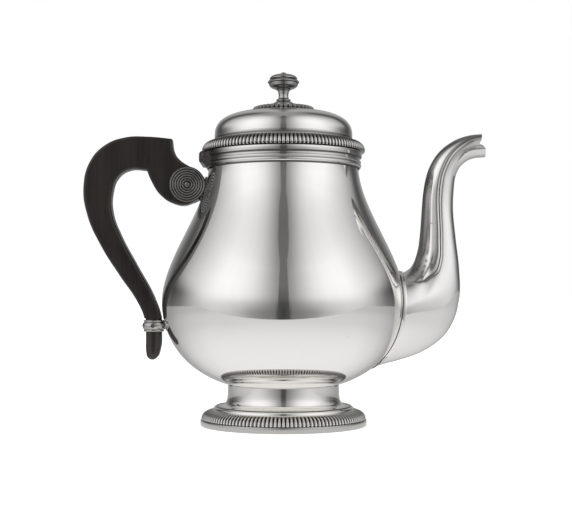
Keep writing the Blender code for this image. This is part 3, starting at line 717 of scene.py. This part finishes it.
def make_hinge():
    """The bracket on the neck with its outer knuckles, and the lid's leaf in its slot."""
    outer_x, inner_x, foot_z = HINGE_X - KNUCKLE_R, -38.6, 144.8
    outline = arc((HINGE_X, HINGE_Z), (KNUCKLE_R, KNUCKLE_R), 40.0, 180.0, 24)
    outline += [(outer_x, 147.8), (outer_x + 1.0, 147.75), (outer_x + 2.1, 147.5), (outer_x + 2.3, 146.9)]
    outline += [(outer_x + 2.6, 146.4), (outer_x + 3.3, 145.4), (outer_x + 3.6, foot_z), (inner_x, foot_z)]
    outline += [(inner_x, 153.4), (-42.4, 153.4), (-42.9, 152.9)]
    leaf = plate("hinge_body_detail", [("VECTOR", x, z) for x, z in outline], HINGE_HALF, 0.25, 1)
    slot_half = LID_KNUCKLE_HALF + GAP
    slot = box_tool((-50.0, -slot_half, 149.1), (-30.0, slot_half, 160.0))
    carve(leaf, "DIFFERENCE", slot, neck_tool(), hinge_bore())
    placed(leaf, POT, "silver_fittings", "hinge_body_leaf", look=TARNISHED)

    top, back_x, front_x = LID_SEAT_Z - GAP, HINGE_X - 1.2, HINGE_X + 1.4
    outline = arc((HINGE_X, HINGE_Z), (KNUCKLE_R, KNUCKLE_R), 45.0, -233.0, 32)
    outline += [(back_x, HINGE_Z + 1.6), (back_x, top), (front_x, top), (front_x, HINGE_Z + 1.4)]
    leaf = plate("hinge_lid_detail", [("VECTOR", x, z) for x, z in outline], LID_KNUCKLE_HALF, 0.2, 1)
    carve(leaf, "DIFFERENCE", hinge_bore())
    placed(leaf, LID, "silver_fittings", "hinge_lid_leaf", look=TARNISHED)


# ---- spout

# back x, z, front x, z and half width of each station, from inside the body to the mouth
SPOUT_STATIONS = (
    (58.0, 85.0, 47.0, 31.5, 19.5),
    (66.1, 85.9, 57.0, 34.5, 19.0),
    (69.0, 86.9, 68.4, 37.6, 17.8),
    (71.8, 88.9, 77.0, 40.7, 16.4),
    (73.7, 91.6, 85.0, 45.3, 14.8),
    (75.2, 95.5, 92.0, 51.6, 13.0),
    (76.4, 100.1, 97.2, 60.8, 11.2),
    (77.2, 106.0, 99.9, 73.5, 9.6),
    (77.9, 114.0, 99.6, 89.0, 8.5),
    (78.5, 123.1, 97.6, 106.5, 7.9),
    (79.3, 131.9, 96.2, 121.5, 7.6),
    (80.7, 139.7, 96.5, 132.5, 7.4),
    (83.1, 146.8, 97.7, 141.3, 7.2),
    (87.1, 153.4, 100.4, 146.6, 7.0),
    (92.6, 158.6, 104.6, 150.0, 6.8),
    (99.6, 162.5, 109.0, 151.4, 6.6),
    (106.5, 164.4, 112.4, 151.7, 6.4),
    (112.4, 165.0, 114.4, 151.9, 6.2),
)
# the groove along each side, from the root to the mouth, and the upper edge of the lower lip
GROOVE = (
    (78.6, 81.6), (80.4, 83.2), (85.4, 87.0), (87.6, 93.4), (88.0, 105.1),
    (87.9, 135.0), (88.7, 140.1), (90.6, 145.7), (93.3, 151.2), (98.1, 156.8),
    (104.8, 161.1), (111.0, 162.9), (114.5, 163.4),
)
LIP_EDGE = ((95.9, 143.5), (98.2, 149.1), (101.0, 152.8), (106.3, 156.2), (112.7, 156.8), (116.0, 156.7))
# how far the mouth's edge is set forward, as places from the back at -1 to the front at 1
MOUTH_PLACES = (-1.0, -0.42, -0.1, 0.16, 0.4, 1.0)
MOUTH_SHIFTS = (0.0, -1.5, -3.2, -0.6, 0.1, -0.1)
CREASE_DEPTH, CREASE_REACH = 1.3, 5.2
BEAD_PLACE, BEAD_RISE, BEAD_WIDTH = -0.52, 0.35, 1.6
LIP_DEPTH, LIP_FADE = 0.4, 3.5


def run_length(line):
    """The distance of each point of a line from its first one, along the line."""
    return np.concatenate([[0.0], np.cumsum(np.linalg.norm(np.diff(line, axis=0), axis=1))])


def crossing(stations, line):
    """Where a line in the XZ plane crosses each station, from -1 at the back to 1 at the front."""
    knots = run_length(line)
    dense = smooth_rows(knots, line, np.linspace(0.0, knots[-1], 400))
    shares = []
    for back_x, back_z, front_x, front_z, _ in stations:
        reach = np.array([front_x - back_x, front_z - back_z])
        away = dense - (back_x, back_z)
        off = reach[0] * away[:, 1] - reach[1] * away[:, 0]
        i = int(np.argmin(np.abs(off)))
        shares.append(2 * float(away[i] @ reach) / float(reach @ reach) - 1)
    return np.clip(shares, -0.9, 0.9)


class Spout:
    """The spout's skin. t is the place along it, and u runs across it, from -1 at the back to 1 in front."""

    def __init__(self, samples=420, back=20, front=48):
        stations = np.asarray(SPOUT_STATIONS)
        knots = run_length((stations[:, 0:2] + stations[:, 2:4]) / 2)
        self.t = np.linspace(0.0, 1.0, samples)
        self.stations = smooth_rows(knots / knots[-1], stations, self.t)
        back_z = self.stations[:, 1:2]
        self.length = np.linalg.norm(self.stations[:, 2:4] - self.stations[:, 0:2], axis=1)[:, None]
        crease = crossing(self.stations, np.asarray(GROOVE))[:, None]
        lip = crossing(self.stations, np.asarray(LIP_EDGE))[:, None]
        first = (1 - np.cos(np.pi * np.arange(back) / back)) / 2
        rest = (1 - np.cos(np.pi * np.arange(front + 1) / front)) / 2
        self.u = np.concatenate([-1 + first * (crease + 1), crease + rest * (1 - crease)], axis=1)
        self.from_crease = (self.u - crease) * self.length
        self.from_lip = (self.u - lip) * self.length / 2
        self.bulging = 1 - ease(88.0, 100.0, back_z)
        self.creased = ease(84.0, 93.0, back_z)
        self.upright = ease(90.0, 96.0, back_z) * (1 - ease(134.0, 146.0, back_z))
        self.lipped = ease(0.8, 0.9, self.t)[:, None]

    def half_width(self, crease):
        """Half the width at each point, with the side creases, the bead behind them and the lower lip."""
        u = self.u
        shifted = u + 0.18 * self.bulging * (1 - u * u)
        power = np.where(shifted < 0, 1.8, 1.95)
        width = self.stations[:, 4:5] * (1 - np.abs(shifted) ** power) ** (1 / power)
        near = 1 - np.clip(np.abs(self.from_crease) / CREASE_REACH, 0.0, 1.0)
        depth = CREASE_DEPTH * self.creased * (1 - 0.5 * ease(0.8, 1.0, self.t))[:, None]
        width -= crease * depth * (1 - np.sqrt(1 - (0.9 * near) ** 2)) * (1 - u**6)
        bead = np.exp(-(((u - BEAD_PLACE) * self.length / BEAD_WIDTH) ** 2))
        width += crease * BEAD_RISE * self.upright * bead
        below = (1 - ease(-0.3, 0.3, self.from_lip)) * np.exp(np.minimum(self.from_lip, 0.0) / LIP_FADE)
        return width - crease * LIP_DEPTH * self.lipped * below * (1 - u**6)

    def painted_shade(self):
        """Painted shade: the dark lines in the creases and beside the bead, and the darker back and root."""
        u = self.u
        marks = (
            0.95 * self.creased * np.exp(-((self.from_crease / 1.2) ** 2)),
            0.7 * self.creased * (1 - ease(-0.72, -0.6, u)),
            0.9 * self.upright * np.exp(-(((u + 0.64) * self.length / 1.1) ** 2)),
            0.4 * self.upright * between(-0.4, -0.16, u, 0.08),
            0.5 * self.lipped * np.exp(-((self.from_lip / 0.35) ** 2)),
        )
        return np.max(marks, axis=0)

    def skin(self, inset=0.0, crease=1.0):
        """Rows of points, one for each place along the spout, and the painted shade at each point."""
        s, u = self.stations, self.u
        shrink = 1 - 2 * inset / self.length
        width = np.maximum(self.half_width(crease) - inset * np.sqrt(np.maximum(1 - u**2, 0.0)), 0.0)
        middle, half = (s[:, 2:4] + s[:, 0:2]) / 2, (s[:, 2:4] - s[:, 0:2]) / 2
        x = middle[:, :1] + half[:, :1] * u * shrink
        z = middle[:, 1:] + half[:, 1:] * u * shrink
        x += np.interp(u, MOUTH_PLACES, MOUTH_SHIFTS) * ease(0.9, 1.0, self.t)[:, None] ** 1.5
        near = np.stack([x, -width, z], axis=2)
        far = np.stack([x, width, z], axis=2)[:, -2:0:-1]
        dark = self.painted_shade()
        return np.concatenate([near, far], axis=1), np.concatenate([dark, dark[:, -2:0:-1]], axis=1)


def from_body(skin, t, clearance, count):
    """The rows and shades again, from where each column leaves the body, and closer near the mouth."""
    rows, dark = skin
    columns = rows.shape[1]
    out = np.linalg.norm(rows[..., :2], axis=2) - body_radius(rows[..., 2]) - clearance
    spread = 1 - (1 - np.linspace(0.0, 1.0, count)) ** 1.15
    result = np.zeros((count, columns, 3))
    shade = np.zeros((count, columns))
    for j in range(columns):
        i = int(np.nonzero(out[:, j] < 0)[0][-1])
        share = out[i, j] / (out[i, j] - out[i + 1, j])
        start = t[i] + share * (t[i + 1] - t[i])
        places = start + spread * (1 - start)
        for axis in range(3):
            result[:, j, axis] = np.interp(places, t, rows[:, j, axis])
        shade[:, j] = np.interp(places, t, dark[:, j])
    return result, shade


def make_spout():
    """The hollow spout with its beak, and the seam ring round its root."""
    spout = Spout()
    outer, outer_shade = from_body(spout.skin(), spout.t, GAP, 190)
    inner, inner_shade = from_body(spout.skin(inset=1.15, crease=0.9), spout.t, GAP, 190)
    lip = (outer[-1] + inner[-1]) / 2
    lip[:, 0] += 0.05
    rows = np.concatenate([outer, lip[None], inner[::-1]])
    tone = np.concatenate([outer_shade, outer_shade[-1:], inner_shade[::-1]])
    skin = lattice("spout_detail", rows, ring=True, tone=tone, sharp=38.0)
    placed(skin, POT, SILVER, "spout", look=LINED)

    ring = outer[0]
    normal = body_normal(ring)
    along = np.roll(ring, -1, axis=0) - np.roll(ring, 1, axis=0)
    aside = np.cross(along, normal)
    aside /= np.linalg.norm(aside, axis=1)[:, None]
    centre = ring.mean(axis=0)
    aside *= np.sign(((ring - centre) * aside).sum(axis=1).mean())
    profile = [(0.3, 0.0), (1.3, 0.0), (1.5, 0.25), (1.45, 0.6), (1.15, 0.8), (0.95, 0.85)]
    profile += [(1.05, 1.0), (1.05, 1.35), (0.8, 1.65), (0.3, 1.7)]
    proud = ease(33.0, 44.0, ring[:, 2:3]) * 0.65 + 0.35
    rows = [ring + a * aside + b * proud * normal for a, b in profile]
    seam = lattice("spout_flange_detail", rows, ring=True)
    placed(seam, POT, SILVER, "spout_flange")


# ---- handle

SHARP, SOFT = "VECTOR", "AUTO"
HANDLE_OUTLINE = (
    (SHARP, -63.0, 161.8), (SOFT, -76.0, 163.0), (SOFT, -89.3, 162.6), (SOFT, -100.5, 158.4),
    (SOFT, -109.0, 149.4), (SOFT, -112.85, 135.5), (SOFT, -110.8, 119.0), (SOFT, -102.8, 101.0),
    (SOFT, -92.1, 84.1), (SOFT, -83.1, 70.8), (SOFT, -78.4, 59.6), (SOFT, -77.9, 50.0),
    (SOFT, -77.7, 41.5), (SOFT, -76.4, 37.9), (SOFT, -73.9, 36.95), (SOFT, -71.4, 38.6),
    (SOFT, -69.7, 43.0), (SOFT, -68.6, 51.0), (SOFT, -69.2, 61.0), (SOFT, -73.5, 73.2),
    (SOFT, -83.0, 90.5), (SOFT, -92.0, 107.3), (SOFT, -96.7, 120.0), (SOFT, -96.9, 131.5),
    (SOFT, -93.6, 140.2), (SOFT, -87.0, 144.4), (SHARP, -77.2, 144.3), (SOFT, -74.8, 138.4),
    (SOFT, -69.3, 129.9), (SOFT, -62.5, 125.6), (SOFT, -55.5, 124.5), (SHARP, -48.0, 127.8),
    (SHARP, -45.0, 140.4), (SOFT, -48.2, 143.9), (SOFT, -53.6, 146.6), (SOFT, -58.2, 149.7),
    (SOFT, -61.5, 154.0),
)


def cross_hole(radius, x, z):
    return rod_tool(radius, [(x, 0.0, z)], -9.0, 9.0, (0, 1, 0), sides=24)


def at_tail(obj):
    """Moves a piece turned about the pot's axis onto the axis of the handle's tail."""
    obj.data.transform(Matrix.Translation((TAIL_X * MM, 0.0, 0.0)))
    return obj


def make_handle():
    """The scroll, which thins towards its rounded tail, with room for the collar, the tang and the pins."""
    handle = plate("handle_detail", HANDLE_OUTLINE, HANDLE_HALF, 1.5, 14)
    taper_z, taper_drop, tail_half, tip_z, tip_drop = 100.0, 38.0, 4.8, 41.5, 4.75
    for vertex in handle.data.vertices:
        share = min(max((taper_z - vertex.co.z / MM) / taper_drop, 0.0), 1.0)
        below = min(max((tip_z - vertex.co.z / MM) / tip_drop, 0.0), 1.0)
        vertex.co.y *= (1 - share * (1 - tail_half / HANDLE_HALF)) * math.sqrt(1 - below**2 * 0.98)
    sleeve_line = [(15.0, 60.4), (15.0, 30.0), (TAIL_R, 30.0), (TAIL_R, 60.4)]
    sleeve = at_tail(lathe("tool", sleeve_line, steps=64, ring=True))
    slot = box_tool((-59.3, -1.8, 131.2), (-30.0, 1.8, 140.3))
    pin_holes = cross_hole(SCROLL_PIN_R, SCROLL_X, SCROLL_Z), cross_hole(TAIL_PIN_R, TAIL_X, STRUT_Z)
    carve(handle, "DIFFERENCE", sleeve, slot, *pin_holes)
    for face in handle.data.polygons:
        face.use_smooth = abs(face.normal.y) < 0.99999
    placed(handle, POT, "dark_wood", "handle")


def border(sheet):
    """The outer points of a grid, in order."""
    line = list(sheet[0]) + [row[-1] for row in sheet[1:-1]] + list(sheet[-1])[::-1]
    return line + [row[0] for row in sheet[-2:0:-1]]


def make_upper_mount():
    """A rounded saddle against the body, with the tang that enters the scroll."""
    low_z, top_z, half_width = 127.0, 140.4, 4.8
    middle_z, half_height = (low_z + top_z) / 2, (top_z - low_z) / 2
    shape = bmesh.new()
    sheets = []
    for out, draw_in in ((GAP, 0.0), (0.8, 0.0), (1.1, 0.12), (1.3, 0.4)):
        sheet = []
        for z in middle_z + (np.linspace(low_z, top_z, 18) - middle_z) * (1 - draw_in / half_height):
            radius = body_radius(z) + out
            across = np.linspace(-1.0, 1.0, 13) * (half_width - draw_in)
            points = [Vector((-math.sqrt(radius**2 - y * y), y, z)) * MM for y in across]
            sheet.append([shape.verts.new(point) for point in points])
        sheets.append(sheet)
    for sheet in (sheets[0], sheets[-1]):
        for row, above in zip(sheet, sheet[1:]):
            for j in range(len(row) - 1):
                shape.faces.new((row[j], row[j + 1], above[j + 1], above[j]))
    for low, high in zip(sheets, sheets[1:]):
        a, b = border(low), border(high)
        for i in range(len(a)):
            k = (i + 1) % len(a)
            shape.faces.new((a[i], a[k], b[k], b[i]))
    saddle = finished("handle_upper_mount_detail", shape)
    tang = soften(box_tool((-59.0, -1.5, 131.5), (-46.2, 1.5, 140.0)), 0.25)
    carve(saddle, "UNION", tang)
    carve(saddle, "DIFFERENCE", cross_hole(SCROLL_PIN_R, SCROLL_X, SCROLL_Z))
    placed(saddle, POT, SILVER, "handle_upper_mount", look=FITTINGS)


def make_roundels():
    """Discs of concentric reeds on both faces of the scroll, each with a small boss."""
    disc = bezier((0.0, 1.6), (0.9, 1.6), (1.45, 1.35), (1.6, 0.75), 8)
    # Painted shade: the tone darkens the discs, most on the lands between the reeds and least on the reed
    # crowns, with oxide in the grooves.
    tones = [0.75] * 7 + [0.9, 1.0]
    edges = np.linspace(1.9, 10.1, 7)
    for low, high in zip(edges, edges[1:]):
        for step in range(1, 10):
            share = step / 10
            ridge = max(1 - ((share - 0.5) / 0.3) ** 2, 0.0)
            disc.append((low + (high - low) * share, 0.55 + 0.3 * ridge))
            tones.append(1 - 0.36 * ridge)
        disc.append((high, 0.52))
        tones.append(1.0)
    disc += [(10.1, 0.0), (0.0, 0.0)]
    tones += [0.6, 0.6]
    turns = circle(96)
    profile = np.asarray(disc)
    r, height = profile[:, :1], profile[:, 1:]
    for name, side in (("roundel_front", -1), ("roundel_back", 1)):
        y = side * (HANDLE_HALF + GAP + height) + 0 * turns
        rows = np.stack([SCROLL_X + r * np.cos(turns), y, SCROLL_Z + r * np.sin(turns)], axis=2)
        shade = np.asarray(tones)[:, None] + 0 * turns
        roundel = lattice(name + "_detail", rows, tone=shade, sharp=60.0)
        placed(roundel, POT, "chased_silver", name)


def make_ferrule():
    """A reeded collar round the tail, on a short strut from the body."""
    bore = TAIL_R + GAP
    profile = [(bore, 59.4), (5.55, 59.4)] + arc((5.5, 58.9), (0.4, 0.5), 90, -60, 6) + [(5.45, 58.35)]
    profile += arc((5.3, STRUT_Z), (1.3, 2.05), 80, -80, 16)
    profile += [(5.45, 54.0)] + arc((5.5, 53.45), (0.4, 0.5), 60, -90, 6) + [(bore, 52.9)]
    collar = at_tail(lathe("handle_lower_ferrule_detail", profile, steps=96, ring=True))
    turns, start_x = circle(40), -68.0
    strut_line = [(0.0, 0.0), (0.0, STRUT_R), (0.35, 2.0), (0.6, 2.1), (0.8, 2.6), (0.88, 3.1)]
    rows = []
    for share, radius in strut_line + [(1.0, 3.1), (1.0, 0.0)]:
        y = radius * np.cos(turns)
        z = STRUT_Z + radius * np.sin(turns)
        end_x = -np.sqrt((body_radius(z) + GAP) ** 2 - y**2)
        rows.append(np.stack([start_x + (end_x - start_x) * share, y, z], axis=1))
    carve(collar, "UNION", lattice("tool", rows))
    sleeve = at_tail(lathe("tool", [(0.0, 60.0), (bore, 60.0), (bore, 52.0), (0.0, 52.0)], steps=96))
    carve(collar, "DIFFERENCE", sleeve, cross_hole(TAIL_PIN_R, TAIL_X, STRUT_Z))
    placed(collar, POT, SILVER, "handle_lower_ferrule", look=MELLOW_SHADED)


# ---- stage, light and camera


def turn_round(tree, place):
    """How far round from the front a place or a direction lies, from 0 to 1 straight behind."""
    parts = node(tree, "ShaderNodeSeparateXYZ", Vector=place)
    front = math_node(tree, "MULTIPLY", parts.outputs["Y"], -1.0)
    turn = math_node(tree, "ABSOLUTE", math_node(tree, "ARCTAN2", parts.outputs["X"], front))
    return math_node(tree, "DIVIDE", turn, math.pi)


def floor_plane(name, corners, grey, glow, dim_round=()):
    """A level sheet. glow lists its own light at distances from the pot's axis, as (metres, level).

    dim_round lists how that light changes from the front, at 0, to straight behind, at 1.
    """
    mesh = bpy.data.meshes.new(name)
    mesh.from_pydata(corners, [], [(0, 1, 2, 3)])
    material, tree, place = new_material(name)
    away = node(tree, "ShaderNodeVectorMath", operation="LENGTH", Vector=place)
    level = ramp(tree, away.outputs["Value"], glow)
    if dim_round:
        level = math_node(tree, "MULTIPLY", level, ramp(tree, turn_round(tree, place), dim_round, "LINEAR"))
    set_shader(tree, Base_Color=(grey, grey, grey), Roughness=0.9, Specular_IOR_Level=0.0)
    set_shader(tree, Emission_Color=level, Emission_Strength=1.0)
    mesh.materials.append(material)
    obj = new_object(name, mesh)
    return obj


def make_stage():
    """A pale floor for the eye, and the table top that the silver mirrors, which ends in front of the pot."""
    wide = 30.0
    corners = [(-wide, -wide, 0.0), (wide, -wide, 0.0), (wide, wide, 0.0), (-wide, wide, 0.0)]
    # Painted shade: the floor's glow is dimmer near the pot, a painted shadow round it.
    seen = floor_plane("floor", corners, 0.8, [(0.05, 0.72), (0.5, 1.0)])
    seen.visible_glossy = False
    seen.visible_diffuse = False
    seen.visible_shadow = False
    half, edge_y, edge_lean, below = 1.6, -0.220, 0.03, -0.0002
    corners = [(-half, edge_y + edge_lean * half, below), (half, edge_y - edge_lean * half, below)]
    corners += [(half, 2.0, below), (-half, 2.0, below)]
    # Painted light: the table glows brightest near the pot and dims towards the sides and behind, a painted
    # pool of light for the silver to mirror.
    table_glow = [(0.06, 0.76), (0.22, 0.56), (0.6, 0.46)]
    sides = [(0.36, 1.0), (0.5, 0.86), (0.61, 0.68), (0.7, 0.48), (0.79, 0.42), (0.88, 0.6), (1.0, 0.62)]
    table = floor_plane("table", corners, 0.2, table_glow, dim_round=sides)
    table.visible_camera = False


# Levels of the tent of light, as (place, level). Places round it run from 0 in front to 1 straight behind,
# and places up it from 0 below to 1 overhead.
TENT_ROUND = (
    *((0.0, 0.25), (0.027, 0.27), (0.055, 0.36), (0.09, 0.5), (0.13, 0.66), (0.17, 0.8), (0.23, 0.92)),
    *((0.3, 0.97), (0.36, 0.96), (0.42, 0.86), (0.5, 0.7), (0.58, 0.54), (0.66, 0.36), (0.72, 0.17)),
    *((0.78, 0.07), (0.88, 0.05), (1.0, 0.07)),
)
TENT_UP = (
    *((0.5, 0.84), (0.56, 0.94), (0.62, 1.06), (0.72, 1.10), (0.82, 1.05), (0.895, 0.86), (0.915, 0.78)),
    *((0.97, 0.55), (1.0, 0.34)),
)
LOW_SIDES = ((0.44, 1.0), (0.5, 0.86), (0.556, 0.62), (0.62, 0.36), (0.67, 0.3))
REAR = ((0.7, 0.09), (0.78, 0.09), (0.83, 0.19), (0.89, 0.34), (0.945, 0.42), (0.97, 0.36), (1.0, 0.15))
SLIT_UP = ((0.5, 0.08), (0.6, 0.12), (0.72, 0.16), (0.915, 0.15), (0.94, 0.03))
SLIT_WIDTH_UP = ((0.5, 0.6), (0.86, 0.5), (0.914, 1.0), (0.93, 0.55), (1.0, 0.9))
BELOW_ROUND = (
    *((0.0, 0.05), (0.03, 0.08), (0.045, 0.18), (0.111, 0.24), (0.167, 0.32), (0.222, 0.47), (0.278, 0.57)),
    *((0.333, 0.62), (0.389, 0.62), (0.5, 0.5), (0.611, 0.3), (0.722, 0.2), (1.0, 0.14)),
)


def make_world():
    """A tent of soft light with a dark slit in front, dimmer behind, overhead and below the pot."""
    world = bpy.data.worlds.new("studio")
    bpy.context.scene.world = world
    world.use_nodes = True
    tree = world.node_tree
    tree.nodes.clear()
    way = node(tree, "ShaderNodeTexCoord").outputs["Generated"]
    turn = turn_round(tree, way)
    rise = node(tree, "ShaderNodeSeparateXYZ", Vector=way).outputs["Z"]
    height = math_node(tree, "MULTIPLY_ADD", rise, 0.5, 0.5)
    tent = ramp(tree, turn, TENT_ROUND, "LINEAR")
    tent = math_node(tree, "MULTIPLY", tent, ramp(tree, height, TENT_UP, "LINEAR"))
    low = ramp(tree, height, [(0.57, 1.0), (0.68, 0.0)])
    sides = blend_colour(tree, low, (1.0, 1.0, 1.0), ramp(tree, turn, LOW_SIDES, "LINEAR"))
    tent = math_node(tree, "MULTIPLY", tent, sides)
    behind = ramp(tree, turn, [(0.69, 0.0), (0.76, 1.0)])
    tent = blend_colour(tree, behind, tent, ramp(tree, turn, REAR, "LINEAR"))
    across_slit = math_node(tree, "DIVIDE", turn, ramp(tree, height, SLIT_WIDTH_UP, "LINEAR"))
    in_slit = ramp(tree, across_slit, [(0.042, 1.0), (0.050, 0.0)])
    tent = blend_colour(tree, in_slit, tent, ramp(tree, height, SLIT_UP, "LINEAR"))
    tent = blend_colour(tree, ramp(tree, height, [(0.93, 0.0), (1.0, 1.0)]), tent, (0.3, 0.295, 0.29))
    above = ramp(tree, height, [(0.4, 0.0), (0.57, 1.0)], "LINEAR")
    light = blend_colour(tree, above, ramp(tree, turn, BELOW_ROUND, "LINEAR"), tent)
    is_eye = node(tree, "ShaderNodeLightPath").outputs["Is Camera Ray"]
    seen = blend_colour(tree, is_eye, light, (1.0, 1.0, 1.0))
    background = node(tree, "ShaderNodeBackground", Color=seen, Strength=1.0)
    node(tree, "ShaderNodeOutputWorld", Surface=background.outputs[0])


def make_light():
    """A soft light for the floor and the wood. The silver mirrors only the tent."""
    light = bpy.data.lights.new("key", "SUN")
    light.angle = math.radians(50.0)
    light.energy = 0.5
    obj = new_object("key", light)
    obj.rotation_euler = Vector((0.35, 0.6, -1.0)).to_track_quat("-Z", "Y").to_euler()
    obj.visible_glossy = False


def make_camera():
    """A level camera in front of the pot, a little below its middle."""
    data = bpy.data.cameras.new("camera")
    data.sensor_width = 36.0
    data.lens = 73.9
    data.shift_x = 0.0044
    data.shift_y = 0.0521
    data.clip_start = 0.01
    camera = new_object("camera", data)
    camera.location = (0.0, -0.6665, 0.0732)
    camera.rotation_euler = (math.pi / 2, 0.0, 0.0)
    bpy.context.scene.camera = camera


make_camera()
make_stage()
make_world()
make_light()
make_body()
make_neck_moulding()
make_foot()
make_dome()
make_rosette()
make_knop()
make_hinge()
make_spout()
make_handle()
make_upper_mount()
make_roundels()
make_ferrule()

CARRIED = "hinge_pin", "handle_upper_pin", "handle_lower_pin", "finial_stud", "finial_washer", "finial_nut"
for name in CARRIED:
    for slot in bpy.data.objects[name].material_slots:
        slot.material = FITTINGS

bpy.context.scene.view_settings.view_transform = "Standard"
